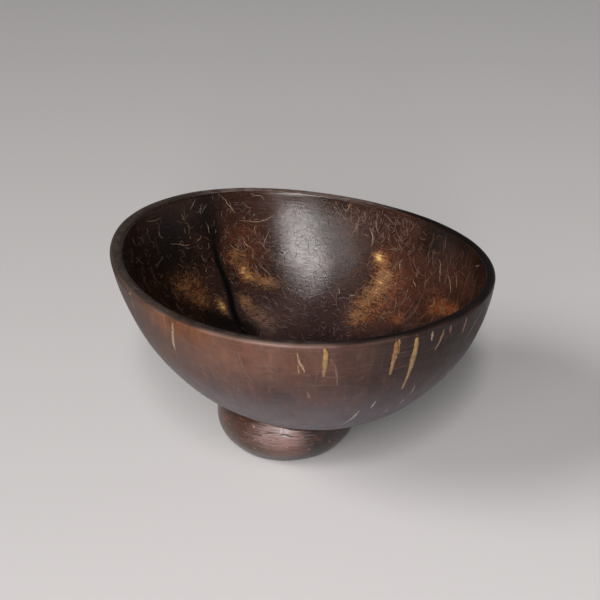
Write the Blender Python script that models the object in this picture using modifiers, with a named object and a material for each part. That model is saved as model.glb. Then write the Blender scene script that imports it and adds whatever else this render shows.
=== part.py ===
"""Footed coconut-shell bowl.

Half of a coconut's shell, cut flat and polished, glued on a ring that is cut from the end of
a smaller coconut. Metres, +Z up. The origin is the middle of the bounding box's bottom face,
on the surface that the bowl stands on. +X is the side where the rim is lowest.
"""

import math

import bmesh
import bpy
from mathutils import Vector

# ---------------------------------------------------------------- driving dimensions
# The bowl: a coconut's shell, nearly a sphere, with three faint lobes.
SHELL_RADIUS = 0.0680        # outside radius before the lobes
RIM_HEIGHT = 0.0586          # from the shell's lowest point up to the flat rim cut
WALL = 0.0040                # shell thickness round the rim
BOTTOM_WALL = 0.0045         # shell thickness at the lowest point
CAVITY_SHIFT = 0.0006        # the hollow sits toward +X, so the -X wall is the thick one
LOBE_SIZE = 0.028            # how far the three lobes stand out, as a share of the radius
LOBE_AZIMUTH = 13.0          # degrees from +X to the first lobe
LEAN = 0.12                  # sideways shift toward +X for each unit of depth under the rim
RIM_TILT = 4.4               # degrees that the bowl leans on its foot, lower at +X
RIM_CENTRE = (-0.00144, 0.00112, 0.0720)
RIM_ROUND = 0.0008           # rounding of the rim's two edges

# The foot: a ring from the end of a smaller coconut, sanded flat underneath.
FOOT_CENTRE = (-0.00624, 0.00112)
FOOT_RADIUS = 0.0254         # outside, at its widest
FOOT_WIDEST = 0.0115         # height of the widest place
FOOT_HALF_HEIGHT = 0.0170    # vertical half axis of the ring's outside curve
FOOT_WALL = 0.0038
FOOT_BLANK_TOP = 0.0240      # before its top is cut to follow the bowl
FOOT_ROUND = 0.0005

# The adhesive between them, and the clearances that keep the solids apart.
GLUE_THICKNESS = 0.0009
GLUE_LIP = 0.0005            # how far the adhesive is squeezed out past the foot's sides
GLUE_BLANK_BOTTOM = 0.0105   # before it is cut to a layer under the bowl
CLEARANCE = 0.0003

BOWL_STEPS = 60
FOOT_STEPS = 48
WALL_RINGS = 16
FOOT_RINGS = 10


# ---------------------------------------------------------------- scene and helpers
for old in list(bpy.data.objects):
    bpy.data.objects.remove(old, do_unlink=True)

model = bpy.data.collections.new("coconut_bowl")
cutters = bpy.data.collections.new("cutters")
for made in (model, cutters):
    bpy.context.scene.collection.children.link(made)

base = bpy.data.objects.new("coconut_bowl_origin", None)
base.empty_display_size = 0.02
model.objects.link(base)


def material(name, colour, roughness):
    mat = bpy.data.materials.new(name)
    mat.use_nodes = True
    shader = mat.node_tree.nodes["Principled BSDF"]
    shader.inputs["Base Color"].default_value = (*colour, 1.0)
    shader.inputs["Roughness"].default_value = roughness
    shader.inputs["Metallic"].default_value = 0.0
    mat.diffuse_color = (*colour, 1.0)
    return mat


def profile_object(name, points, closed, collection):
    """A profile of (radius, height) points in the XZ plane, as an object with edges only."""
    mesh = bpy.data.meshes.new(name)
    count = len(points)
    edges = [(i, i + 1) for i in range(count - 1)]
    if closed:
        edges.append((count - 1, 0))
    mesh.from_pydata([(r, 0.0, z) for r, z in points], edges, [])
    obj = bpy.data.objects.new(name, mesh)
    collection.objects.link(obj)
    return obj


def turned(obj, steps):
    """Turns the object's profile about Z."""
    screw = obj.modifiers.new("turn", "SCREW")
    screw.axis = "Z"
    screw.angle = math.tau
    screw.steps = steps
    screw.render_steps = steps
    screw.use_merge_vertices = True
    screw.merge_threshold = 0.00001
    screw.use_smooth_shade = True
    return screw


def made_real(obj):
    """The object's evaluated mesh in place of its profile and modifiers."""
    graph = bpy.context.evaluated_depsgraph_get()
    mesh = bpy.data.meshes.new_from_object(obj.evaluated_get(graph))
    old = obj.data
    obj.modifiers.clear()
    obj.data = mesh
    mesh.name = obj.name
    bpy.data.meshes.remove(old)


def bevelled(obj, width, segments):
    bevel = obj.modifiers.new("rounded edges", "BEVEL")
    bevel.width = width
    bevel.segments = segments
    bevel.limit_method = "ANGLE"
    bevel.angle_limit = math.radians(40.0)
    return bevel


def cut(obj, cutter, operation):
    step = obj.modifiers.new(operation.lower(), "BOOLEAN")
    step.operation = operation
    step.solver = "EXACT"
    step.object = cutter
    return step


def as_cutter(obj):
    obj.hide_render = True
    obj.display_type = "WIRE"


# ---------------------------------------------------------------- the coconut's form
def coconut_arc(radius, half_height, bottom, top, rings):
    """(radius, height) points down the shell from `top` to the axis. Heights are above the
    outside's lowest point, and the shell's centre is SHELL_RADIUS above that."""
    def angle(height):
        share = (SHELL_RADIUS - height) / half_height
        return math.acos(max(-1.0, min(1.0, share)))

    first = angle(top)
    arc = []
    for i in range(rings + 1):
        a = first * (1.0 - i / rings)
        arc.append((radius * math.sin(a), SHELL_RADIUS - half_height * math.cos(a)))
    arc[-1] = (0.0, bottom)
    return arc


def coconut_form(mesh):
    """Presses a turned mesh into a coconut's three lobes and leans it, then puts the rim's
    centre at the mesh's origin. The lobes fade out toward the lowest point."""
    for vertex in mesh.vertices:
        x, y, z = vertex.co
        radius = math.hypot(x, y)
        azimuth = math.atan2(y, x)
        fade = math.sqrt(max(0.0, min(1.0, z / RIM_HEIGHT)))
        lobe = math.cos(3.0 * (azimuth - math.radians(LOBE_AZIMUTH)))
        radius *= 1.0 + LOBE_SIZE * fade * lobe
        depth = RIM_HEIGHT - z
        vertex.co = (
            radius * math.cos(azimuth) + LEAN * depth,
            radius * math.sin(azimuth),
            -depth,
        )


def hollow_shift(mesh, first_inner):
    """Moves the hollow's surface sideways inside the shell."""
    for vertex in mesh.vertices:
        if first_inner(vertex):
            vertex.co.x += CAVITY_SHIFT


def on_foot(obj):
    obj.rotation_euler = (0.0, math.radians(RIM_TILT), 0.0)
    obj.location = RIM_CENTRE
    obj.parent = base


def seat_cutter(name, growth):
    """The bowl's outside grown by `growth`, closed flat across its rim."""
    outside = coconut_arc(
        SHELL_RADIUS + growth, SHELL_RADIUS + growth, -growth, RIM_HEIGHT, WALL_RINGS
    )
    solid = profile_object(name, [(0.0, RIM_HEIGHT), *outside], False, cutters)
    turned(solid, BOWL_STEPS)
    made_real(solid)
    coconut_form(solid.data)
    on_foot(solid)
    as_cutter(solid)
    return solid


# ---------------------------------------------------------------- bowl_shell
outside = coconut_arc(SHELL_RADIUS, SHELL_RADIUS, 0.0, RIM_HEIGHT, WALL_RINGS)
inside = coconut_arc(
    SHELL_RADIUS - WALL, SHELL_RADIUS - BOTTOM_WALL, BOTTOM_WALL, RIM_HEIGHT, WALL_RINGS
)
wall_profile = [*reversed(inside), *outside]
bowl = profile_object("bowl_shell", wall_profile, False, model)
turned(bowl, BOWL_STEPS)
made_real(bowl)


def inner_side(vertex):
    """True where a vertex of the turned blank belongs to the hollow."""
    x, y, z = vertex.co
    middle = SHELL_RADIUS - 0.5 * WALL
    return math.sqrt(x * x + y * y + (z - SHELL_RADIUS) ** 2) < middle


hollow_shift(bowl.data, inner_side)
coconut_form(bowl.data)
bevelled(bowl, RIM_ROUND, 3)
on_foot(bowl)
bowl.data.shade_smooth()
bowl.data.materials.clear()
bowl.data.materials.append(material("polished_coconut_shell", (0.060, 0.026, 0.014), 0.34))


# ---------------------------------------------------------------- foot_ring
def foot_profile(extra, bottom, top, rings):
    """A closed band round the foot's wall, `extra` thicker on each side, from `bottom` to
    `top`. Both sides are arcs of ellipses about the foot's widest height."""
    def side(radius, half_height, shift):
        low = math.asin((bottom - FOOT_WIDEST) / half_height)
        high = math.asin((top - FOOT_WIDEST) / half_height)
        arc = []
        for i in range(rings + 1):
            a = high + (low - high) * i / rings
            arc.append(
                (radius * math.cos(a) + shift, FOOT_WIDEST + half_height * math.sin(a))
            )
        return arc

    outer = side(FOOT_RADIUS, FOOT_HALF_HEIGHT, extra)
    inner = side(FOOT_RADIUS - FOOT_WALL, FOOT_HALF_HEIGHT - FOOT_WALL, -extra)
    return [*outer, *reversed(inner)]


def at_foot(obj):
    obj.location = (*FOOT_CENTRE, 0.0)
    obj.parent = base


foot = profile_object(
    "foot_ring", foot_profile(0.0, 0.0, FOOT_BLANK_TOP, FOOT_RINGS), True, model
)
turned(foot, FOOT_STEPS)
bevelled(foot, FOOT_ROUND, 2)
at_foot(foot)
cut(foot, seat_cutter("foot_seat", GLUE_THICKNESS + 2.0 * CLEARANCE), "DIFFERENCE")
foot.data.materials.append(material("polished_coconut_foot", (0.115, 0.046, 0.022), 0.36))


# ---------------------------------------------------------------- glue_bead
glue = profile_object(
    "glue_bead", foot_profile(GLUE_LIP, GLUE_BLANK_BOTTOM, FOOT_BLANK_TOP, 6), True, model
)
turned(glue, FOOT_STEPS)
at_foot(glue)
cut(glue, seat_cutter("glue_underside", GLUE_THICKNESS + CLEARANCE), "INTERSECT")
cut(glue, seat_cutter("glue_top", CLEARANCE), "DIFFERENCE")
glue.data.materials.append(material("dark_adhesive", (0.022, 0.013, 0.009), 0.55))
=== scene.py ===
from math import acos, asin, atan2, cos, pi, radians, sin, sqrt

import bpy
import numpy as np
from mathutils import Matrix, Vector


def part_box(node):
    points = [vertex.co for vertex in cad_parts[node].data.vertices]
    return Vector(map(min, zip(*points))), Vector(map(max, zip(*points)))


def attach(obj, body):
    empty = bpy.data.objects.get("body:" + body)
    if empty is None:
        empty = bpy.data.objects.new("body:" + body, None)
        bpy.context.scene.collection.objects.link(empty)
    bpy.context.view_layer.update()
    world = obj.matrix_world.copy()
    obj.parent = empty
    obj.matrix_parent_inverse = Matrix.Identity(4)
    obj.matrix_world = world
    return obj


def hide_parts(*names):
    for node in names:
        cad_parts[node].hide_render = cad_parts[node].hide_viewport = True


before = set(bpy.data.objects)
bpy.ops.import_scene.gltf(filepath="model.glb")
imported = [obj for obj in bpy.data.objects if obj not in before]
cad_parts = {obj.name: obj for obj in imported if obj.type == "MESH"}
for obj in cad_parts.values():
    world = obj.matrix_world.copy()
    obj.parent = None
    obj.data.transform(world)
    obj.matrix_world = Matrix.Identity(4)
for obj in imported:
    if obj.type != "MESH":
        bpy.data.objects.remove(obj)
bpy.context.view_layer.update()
scene = bpy.context.scene

# ---- the bowl's form, in mm
# The sizes of the CAD source, because the fine meshes repeat its surfaces. Only the rim's
# rounding is a little softer here.
SHELL_RADIUS = 68
RIM_HEIGHT = 58.6
WALL = 4
BOTTOM_WALL = 4.5
CAVITY_SHIFT = 0.6
LOBE_SIZE = 0.028
LOBE_AZIMUTH = 13
LEAN = 0.12
RIM_TILT = 4.4
RIM_ROUND = 1.15
RIM_ABOVE_FLOOR = 72
RIM_FROM_FOOT = 4.8  # the rim's centre lies this far toward +X from the foot's axis
FOOT_RADIUS = 25.4
FOOT_WIDEST = 11.5
FOOT_HALF_HEIGHT = 17
FOOT_WALL = 3.8
FOOT_BLANK_TOP = 24
GAP = 1.5  # from the bowl's underside down to the foot's top
MM = 0.001
TAU = 2 * pi

foot_low, foot_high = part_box("foot_ring")
FOOT_X = (foot_low.x + foot_high.x) / 2 / MM
FOOT_Y = (foot_low.y + foot_high.y) / 2 / MM
RIM_CENTRE = np.array([FOOT_X + RIM_FROM_FOOT, FOOT_Y, RIM_ABOVE_FLOOR])


# ---- numbers and noise
def smooth(low, high, x):
    t = np.clip((x - low) / (high - low), 0, 1)
    return t * t * (3 - 2 * t)


def hump(x, width):
    return np.exp(-((x / width) ** 2))


def turn(azimuth, centre):
    """Signed degrees from `centre` to `azimuth`, between -180 and 180."""
    return (azimuth - centre + 180) % 360 - 180


def waves(points, wavelength, seed, count=24):
    """Smooth noise, about -1 to 1: plane waves of about one wavelength (mm) added up."""
    rng = np.random.default_rng(seed)
    total = np.zeros(points.shape[:-1])
    for _ in range(count):
        way = rng.normal(size=3)
        way *= TAU / (np.linalg.norm(way) * wavelength * rng.uniform(0.7, 1.5))
        total += np.sin(points @ way + rng.uniform(0, TAU))
    return total / sqrt(count)


# ---- the coconut's surfaces
def lobe_factor(azimuth, height):
    fade = np.sqrt(np.clip(height / RIM_HEIGHT, 0, 1))
    return 1 + LOBE_SIZE * fade * np.cos(3 * (azimuth - radians(LOBE_AZIMUTH)))


def on_bowl(blank):
    """Places points of the round blank (x, y, height in mm) on the lobed, leaning bowl."""
    x, y, height = blank[..., 0], blank[..., 1], blank[..., 2]
    azimuth = np.arctan2(y, x)
    radius = np.hypot(x, y) * lobe_factor(azimuth, height)
    along = radius * np.cos(azimuth) + LEAN * (RIM_HEIGHT - height)
    up = height - RIM_HEIGHT
    c, s = cos(radians(RIM_TILT)), sin(radians(RIM_TILT))
    turned = [along * c + up * s, radius * np.sin(azimuth), up * c - along * s]
    return np.stack(turned, -1) + RIM_CENTRE


def off_bowl(points):
    """About how far points lie outside the bowl's outer surface, in mm."""
    p = points - RIM_CENTRE
    c, s = cos(radians(RIM_TILT)), sin(radians(RIM_TILT))
    along = p[..., 0] * c - p[..., 2] * s
    height = p[..., 0] * s + p[..., 2] * c + RIM_HEIGHT
    along = along - LEAN * (RIM_HEIGHT - height)
    azimuth = np.arctan2(p[..., 1], along)
    radius = np.hypot(along, p[..., 1]) / lobe_factor(azimuth, height)
    return np.hypot(radius, SHELL_RADIUS - height) - SHELL_RADIUS


# The shell's three sutures: azimuth at the rim, azimuth gained per mm of depth, strength.
SUTURES = [(121, 0.225, 1), (247, 0.1, 0.25), (6, -0.1, 0.3)]


def suture_offset(suture, azimuth, depth, radius):
    """Distance in mm along the wall from a suture's line, which wavers low in the bowl."""
    sway = 1.8 * np.sin((depth - 25) / 14 * pi) * smooth(22, 28, depth)
    line = suture[0] + suture[1] * depth - sway
    return turn(azimuth, line) * radius * pi / 180


def inside_suture(suture, blank, azimuth, depth, radius):
    """A suture's ragged offset inside the bowl, and how far its groove has deepened, 0 to 1."""
    ragged = 0.25 * waves(blank, 9, 7)
    return suture_offset(suture, azimuth, depth, radius) + ragged, smooth(8, 30, depth)


def outer_relief(blank, azimuth, depth, radius):
    """How far the polished outside stands out from the plain form, in mm."""
    relief = 0.1 * waves(blank, 27, 3) + 0.02 * waves(blank, 8, 4)
    settle = smooth(10, 34, radius)
    for suture in SUTURES:
        away = suture_offset(suture, azimuth, depth, radius)
        crest = 0.22 * hump(away, 9) - 0.1 * hump(away, 1.1) * smooth(4, 34, depth)
        relief = relief + settle * suture[2] * crest
    return relief


def inner_relief(blank, azimuth, depth, radius):
    """How far the inside stands into the hollow, in mm. The main suture is an open groove."""
    relief = 0.1 * waves(blank, 24, 5) + 0.025 * waves(blank, 7.5, 6)
    settle = smooth(9, 26, radius)
    for suture in SUTURES:
        away, deep = inside_suture(suture, blank, azimuth, depth, radius)
        groove = (0.02 + 0.2 * deep) * hump(away, 0.8 + 0.5 * deep)
        relief = relief - settle * suture[2] * groove
    return relief


def blank_wall(angle, radius, half_height):
    """The wall's (radius, height) at a polar angle up from the lowest point."""
    return radius * np.sin(angle), SHELL_RADIUS - half_height * np.cos(angle)


INNER_RADIUS = SHELL_RADIUS - WALL
INNER_HALF = SHELL_RADIUS - BOTTOM_WALL


def rim_start(half_height, side):
    """The polar angle where a wall passes into the rim's rounding. side is 1 outside."""
    angle = acos((SHELL_RADIUS - RIM_HEIGHT + RIM_ROUND) / half_height)
    for _ in range(6):
        height = RIM_HEIGHT - RIM_ROUND - side * RIM_ROUND * cos(angle)
        angle = acos((SHELL_RADIUS - height) / half_height)
    return angle


OUTER_RINGS = 92
INNER_RINGS = 88
ROUND_RINGS = 6
FACE_RINGS = 5
ROUND_SHARE = 0.12  # the part of the rim's width that each rounding counts for
RIM_RELIEF = 0.35  # the part of the wall's unevenness that the rim keeps


def bowl_profile():
    """The wall's section from the outside's lowest point over the rim to the inside's: rows
    of (radius, height, normal radius, normal height, side), with side 0 outside, 1 inside."""
    rows = []

    def wall(angle, radius, half_height, way, side):
        nr, nz = way * sin(angle), -way * cos(angle)
        rows.append((*blank_wall(angle, radius, half_height), nr, nz, side))

    def rounding(centre, start, end, first, low):
        for i in range(first, ROUND_RINGS + 1):
            a = start + (end - start) * i / ROUND_RINGS
            nr, nz = cos(a), sin(a)
            point = (centre[0] + RIM_ROUND * nr, centre[1] + RIM_ROUND * nz)
            rows.append((*point, nr, nz, low + ROUND_SHARE * i / ROUND_RINGS))

    outer_end = rim_start(SHELL_RADIUS, 1)
    inner_end = rim_start(INNER_HALF, -1)
    for i in range(OUTER_RINGS):
        wall(outer_end * i / (OUTER_RINGS - 1), SHELL_RADIUS, SHELL_RADIUS, 1, 0)
    r, z, nr, nz, _ = rows[-1]
    outer_middle = (r - RIM_ROUND * nr, z - RIM_ROUND * nz)
    rounding(outer_middle, atan2(nz, nr), pi / 2, 1, 0)
    r, z = blank_wall(inner_end, INNER_RADIUS, INNER_HALF)
    nr, nz = -sin(inner_end), cos(inner_end)
    inner_middle = (r - RIM_ROUND * nr, z - RIM_ROUND * nz)
    for i in range(1, FACE_RINGS):
        share = i / FACE_RINGS
        across = outer_middle[0] + (inner_middle[0] - outer_middle[0]) * share
        side = ROUND_SHARE + (1 - 2 * ROUND_SHARE) * share
        rows.append((across, RIM_HEIGHT, 0, 1, side))
    rounding(inner_middle, pi / 2, atan2(nz, nr), 0, 1 - ROUND_SHARE)
    for i in range(1, INNER_RINGS + 1):
        wall(inner_end * (1 - i / INNER_RINGS), INNER_RADIUS, INNER_HALF, -1, 1)
    return np.array(rows)


def bowl_points(radius, height, normal_r, normal_z, side, azimuth, lift=0):
    """Finished points in mm, `lift` above the surface, and each one's blank place (x, y,
    height), azimuth in degrees, depth below the rim and distance from the axis."""
    x = radius * np.cos(azimuth) + CAVITY_SHIFT * side
    y = radius * np.sin(azimuth)
    blank = np.stack(np.broadcast_arrays(x, y, height), -1)
    degrees = np.degrees(np.arctan2(y, x)) % 360
    depth = RIM_HEIGHT - blank[..., 2]
    reach = np.hypot(x, y)
    where = (blank, degrees, depth, reach)
    relief = np.where(side < 0.5, outer_relief(*where), inner_relief(*where))
    on_wall = np.abs(side - 0.5) > 0.49
    rise = relief * np.where(on_wall, 1, RIM_RELIEF) + lift
    out = rise * normal_r
    moved = [out * np.cos(azimuth), out * np.sin(azimuth), rise * normal_z]
    return on_bowl(blank + np.stack(moved, -1)), *where


# ---- meshes from rings
def added(name, data):
    obj = bpy.data.objects.new(name, data)
    scene.collection.objects.link(obj)
    return obj


def ring_mesh(name, stacks, poles=(False, False), closed_loop=False):
    """An object whose mesh joins rings of points (stack, ring, column, xyz in mm) with quads.
    A pole closes an end ring to one point, and a closed loop joins the last ring to the
    first. Also gives the index of the ring point that each vertex came from."""
    number = np.arange(stacks[..., 0].size).reshape(stacks.shape[:-1])
    for end, pole in zip((0, -1), poles):
        if pole:
            number[:, end, :] = number[:, end, :1]
    used = np.unique(number)
    number = np.searchsorted(used, number)
    points = stacks.reshape(-1, 3)[used] * MM
    this = number if closed_loop else number[:, :-1]
    after = np.roll(number, -1, axis=1) if closed_loop else number[:, 1:]
    corners = [this, np.roll(this, -1, axis=2), np.roll(after, -1, axis=2), after]
    quads = np.stack(corners, -1).reshape(-1, 4)
    a, b, c, d = (points[quads[:, i]] for i in range(4))
    volume = np.sum(a * np.cross(b, c)) + np.sum(a * np.cross(c, d))
    if volume < 0:
        quads = quads[:, ::-1]
    faces = [list(dict.fromkeys(quad)) for quad in quads.tolist()]
    mesh = bpy.data.meshes.new(name)
    mesh.from_pydata(points.tolist(), [], faces)
    mesh.update()
    mesh.shade_smooth()
    return added(name, mesh), used


def give(obj, used, name, values, size=1):
    """Stores a number, or a vector of size 3, for each vertex, for the materials to read."""
    values = values.reshape(-1, size)[used].astype(np.float32)
    kind, key = ("FLOAT", "value") if size == 1 else ("FLOAT_VECTOR", "vector")
    obj.data.attributes.new(name, kind, "POINT").data.foreach_set(key, values.ravel())


# ---- colours by place
def patches(azimuth, depth, spots):
    """The sum of soft spots: azimuth, depth, half width in degrees, half height in mm, size."""
    total = np.zeros(azimuth.shape)
    for a, d, wide, tall, strength in spots:
        total += strength * hump(turn(azimuth, a), wide) * hump(depth - d, tall)
    return total


# The spots of each colour, under the names that the materials read: rust and rosy are
# outside, and the others inside.
PATCHES = {}
PATCHES["gold"] = [
    (134.8, 36.8, 2.6, 2.6, 1.1), (143, 33, 6, 2.5, 0.5), (150.5, 29, 6, 3, 0.4),
    (156, 23, 6, 4, 0.25), (144, 27, 7, 3.5, 0.25), (115.5, 29, 3, 2.6, 0.95),
    (118, 23.5, 4, 3.5, 0.55), (109.5, 31.6, 4.5, 2.2, 0.6), (104.5, 32.6, 4.5, 2.2, 0.45),
    (121, 37, 3.5, 2.6, 0.75), (117, 41, 5.5, 2.6, 0.5), (57.8, 18.8, 2.6, 2, 1.2),
    (112, 43.2, 5, 2, 0.3), (54, 23.5, 4.5, 4.5, 0.52), (54.5, 28.5, 5.5, 4.5, 0.54),
    (58.5, 34, 6.5, 4, 0.44), (60.5, 39, 6.5, 3, 0.5), (46, 36, 4, 2.5, 0.3),
    (252, 31, 7, 5, 0.6), (262, 22, 4, 4, 0.5), (301, 27, 4, 7, 0.5), (198, 36, 6, 4, 0.45),
    (224, 40, 7, 3, 0.5),
]
PATCHES["orange"] = [
    (12.5, 22.5, 4, 2.2, 0.6), (18, 24.5, 5, 2.2, 0.65), (24, 27.5, 6, 2.4, 0.45),
    (27, 22, 9, 5, 0.25), (38.5, 35.3, 5, 2.2, 0.5), (50, 27, 9, 9, 0.4), (58, 38, 10, 6, 0.4),
    (9, 14, 8, 7, 0.2), (335, 22, 9, 7, 0.4), (318, 33, 9, 6, 0.3), (208, 28, 9, 7, 0.2),
    (115, 26, 12, 10, 0.38), (148, 30, 13, 8, 0.5), (57.6, 18, 6, 5, 0.3), (110, 15, 9, 7, 0.22),
]
PATCHES["red"] = [
    (25, 22, 26, 15, 0.5), (48, 30, 13, 13, 0.65), (68, 5, 9, 6, 0.3), (330, 20, 25, 16, 0.6),
    (280, 30, 20, 14, 0.35), (113, 12, 12, 13, 0.6),
]
# Dark staining mixed with painted shade: the painted shadow of the near-left rim across the
# inside, the shaded left wall, and darker towards the bottom of the hollow.
PATCHES["dark_and_shade"] = [
    (165, 14, 24, 16, 0.9), (195, 22, 26, 20, 0.8), (140, 10, 16, 14, 0.8), (125, 12, 5, 22, 0.8),
    (2, 10, 10, 14, 0.5), (88, 46, 30, 5, 0.4), (112, 7, 11, 10, 0.4), (354, 11, 6, 6, 0.5),
    (3, 19.5, 6, 3.5, 0.6), (11.5, 27.5, 6, 2.6, 0.8), (20, 33.5, 7, 2.6, 0.9),
    (32, 39, 9, 2.4, 0.8), (8, 2, 16, 7, 0.8), (354, 10, 8, 12, 0.6), (30, 1, 14, 4, 0.6),
    (52, 45, 12, 2.6, 0.7), (78, 48, 18, 3, 0.6), (171, 15, 8, 7, 0.6), (163, 24.5, 8, 5.5, 0.9),
    (155.5, 32, 7, 4, 1.1), (147.5, 37.5, 8, 3.5, 1.1), (138, 41.5, 9, 3, 1.1),
    (126, 44, 9, 2.8, 1), (88, 56, 360, 5, 0.5), (37, 8, 7, 7, 0.4), (8, 22, 16, 16, 0.35),
    (36, 9, 11, 6, 0.35),
]
PATCHES["mauve"] = [
    (115, 42.6, 8, 3, 0.8), (121, 38, 4, 3, 0.3), (96, 40, 9, 5, 0.2),
]
PATCHES["rust"] = [
    (211, 4, 9, 5, 0.6), (229, 3, 10, 5, 0.9), (241, 2, 7, 4, 0.8), (250, 4, 10, 7, 0.35),
    (270, 4, 14, 6, 0.25), (30, 4, 22, 8, 0.5), (95, 6, 18, 9, 0.4), (150, 5, 16, 7, 0.6),
]
PATCHES["rosy"] = [
    (256, 6, 22, 11, 0.8), (240, 14, 18, 12, 0.5), (275, 6, 18, 12, 0.7), (60, 9, 26, 12, 0.6),
    (140, 14, 24, 12, 0.5), (205, 12, 14, 12, 0.4),
]


# ---- the bowl
COLUMNS = 480
profile = bowl_profile()
column_angles = np.arange(COLUMNS) * TAU / COLUMNS
r, z, nr, nz, side = (profile[:, i : i + 1] for i in range(5))
points, blank, degrees, depth, reach = bowl_points(r, z, nr, nz, side, column_angles[None, :])
bowl, bowl_used = ring_mesh("coconut_bowl", points[None], poles=(True, True))
bowl_side = np.broadcast_to(side, degrees.shape)
give(bowl, bowl_used, "blank", blank, 3)
for layer, spots in PATCHES.items():
    give(bowl, bowl_used, layer, patches(degrees, depth, spots))
seam = np.zeros(degrees.shape)
for suture in SUTURES:
    away, deep = inside_suture(suture, blank, degrees, depth, reach)
    line = hump(away, 0.5 + 0.95 * deep) * smooth(7, 20, reach) * (0.35 + 0.65 * deep)
    seam = np.maximum(seam, np.where(side < 0.5, 0.25, 1) * suture[2] * line)
give(bowl, bowl_used, "seam", seam)
# A painted highlight along the rim's outer rounding, strongest on the near side round azimuth
# 257.
near_side = 0.1 + 0.9 * hump(turn(degrees, 257), 34)
painted_edge_highlight = hump(side - 0.07, 0.05) * near_side * smooth(-1.6, 1, waves(blank, 16, 11))
give(bowl, bowl_used, "painted_edge_highlight", painted_edge_highlight)
give(bowl, bowl_used, "across", bowl_side)
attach(bowl, "root")
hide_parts("bowl_shell")


# ---- fibres and bare marks
def tone(red, green, blue):
    """A colour given as screen values from 0 to 255, in the linear values that shaders take."""
    def linear(v):
        v /= 255
        return v / 12.92 if v <= 0.04045 else ((v + 0.055) / 1.055) ** 2.4

    return (linear(red), linear(green), linear(blue), 1)


AMBER, GOLD, TAN = tone(146, 92, 42), tone(154, 121, 62), tone(138, 110, 74)
PALE, FAINT, MAUVE = tone(156, 136, 112), tone(94, 66, 50), tone(104, 82, 78)
THREAD, ROSE, HONEY = tone(180, 156, 128), tone(152, 112, 86), tone(186, 142, 88)
MIST, SHELL_DARK, SHELL_EDGE = tone(142, 134, 136), tone(44, 29, 25), tone(64, 42, 35)

STRAND_RINGS = 14
END_DEPTH = 0.08  # how far a strand's ends dip under the wall, in mm
# A strand's cross-section: places across it, from -1 to 1, heights over the wall in mm, and
# how far its colour has faded into the shell's there.
STRAND_SECTION = [
    (-1, -0.05, 0.95), (-0.6, 0.02, 0.4), (0, 0.035, 0), (0.6, 0.02, 0.4),
    (1, -0.05, 0.95), (0, -0.16, 1),
]


def blend(first, last, share):
    """Colours from first to last by a share, which keeps a last axis for the channels."""
    return np.array(first)[..., :3] * (1 - share) + np.array(last)[..., :3] * share


def wall_at(azimuth, depth, inside, lift):
    """Points on one side of the wall, at azimuths in degrees and depths in mm."""
    half, radius = (INNER_HALF, INNER_RADIUS) if inside else (SHELL_RADIUS, SHELL_RADIUS)
    angle = np.arccos(np.clip((SHELL_RADIUS - RIM_HEIGHT + depth) / half, -1, 1))
    r, z = blank_wall(angle, radius, half)
    way, side = (-1, 1.0) if inside else (1, 0.0)
    nr, nz = way * np.sin(angle), -way * np.cos(angle)
    sides = np.full(r.shape, side)
    return bowl_points(r, z, nr, nz, sides, np.radians(azimuth), lift)[:2]


def strands(name, inside, paths, widths, tints):
    """One object of thin strands lying in the wall: paths (strand, ring, azimuth and depth),
    widths in mm (strand, ring) and linear colours (strand, ring, 3)."""
    base, blank = wall_at(paths[..., 0], paths[..., 1], inside, 0)
    up = wall_at(paths[..., 0], paths[..., 1], inside, 1)[0] - base
    up /= np.linalg.norm(up, axis=-1, keepdims=True)
    along = np.gradient(base, axis=1)
    across = np.cross(up, along)
    across /= np.linalg.norm(across, axis=-1, keepdims=True)
    rings = [
        base + across * (0.5 * place * widths)[..., None] + up * height
        for place, height, _ in STRAND_SECTION
    ]
    rings = np.stack(rings, axis=2)
    for end in (0, -1):
        rings[:, end] = (base[:, end] - END_DEPTH * up[:, end])[:, None]
    obj, used = ring_mesh(name, rings, poles=(True, True))
    give(obj, used, "blank", np.broadcast_to(blank[:, :, None], rings.shape), 3)
    faded = np.array([fade for _, _, fade in STRAND_SECTION])[:, None]
    give(obj, used, "tint", blend(tints[:, :, None], SHELL_EDGE, faded), 3)
    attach(obj, "root")
    return obj


def eased(path):
    """A listed path (azimuth and depth of each point in turn) drawn with STRAND_RINGS
    points and its corners softened."""
    path = np.reshape(path, (-1, 2)).astype(float)
    steps = np.hypot(np.diff(path[:, 0]), np.diff(path[:, 1]))
    place = np.concatenate([[0], np.cumsum(steps)])
    even = np.linspace(0, place[-1], STRAND_RINGS)
    drawn = np.stack([np.interp(even, place, path[:, i]) for i in range(2)], -1)
    for _ in range(3):
        drawn[1:-1] = (drawn[:-2] + 2 * drawn[1:-1] + drawn[2:]) / 4
    return drawn


def taper(widest):
    """Widths along a mark, from 0 to 1, that is widest at the place `widest`."""
    t = np.linspace(0, 1, STRAND_RINGS)
    rise = 0.35 + 0.65 * smooth(-0.02, max(widest, 0.04), t)
    fall = 1 - 0.62 * smooth(widest, 1, t)
    return rise * fall * smooth(1.03, 0.93, t)


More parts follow.
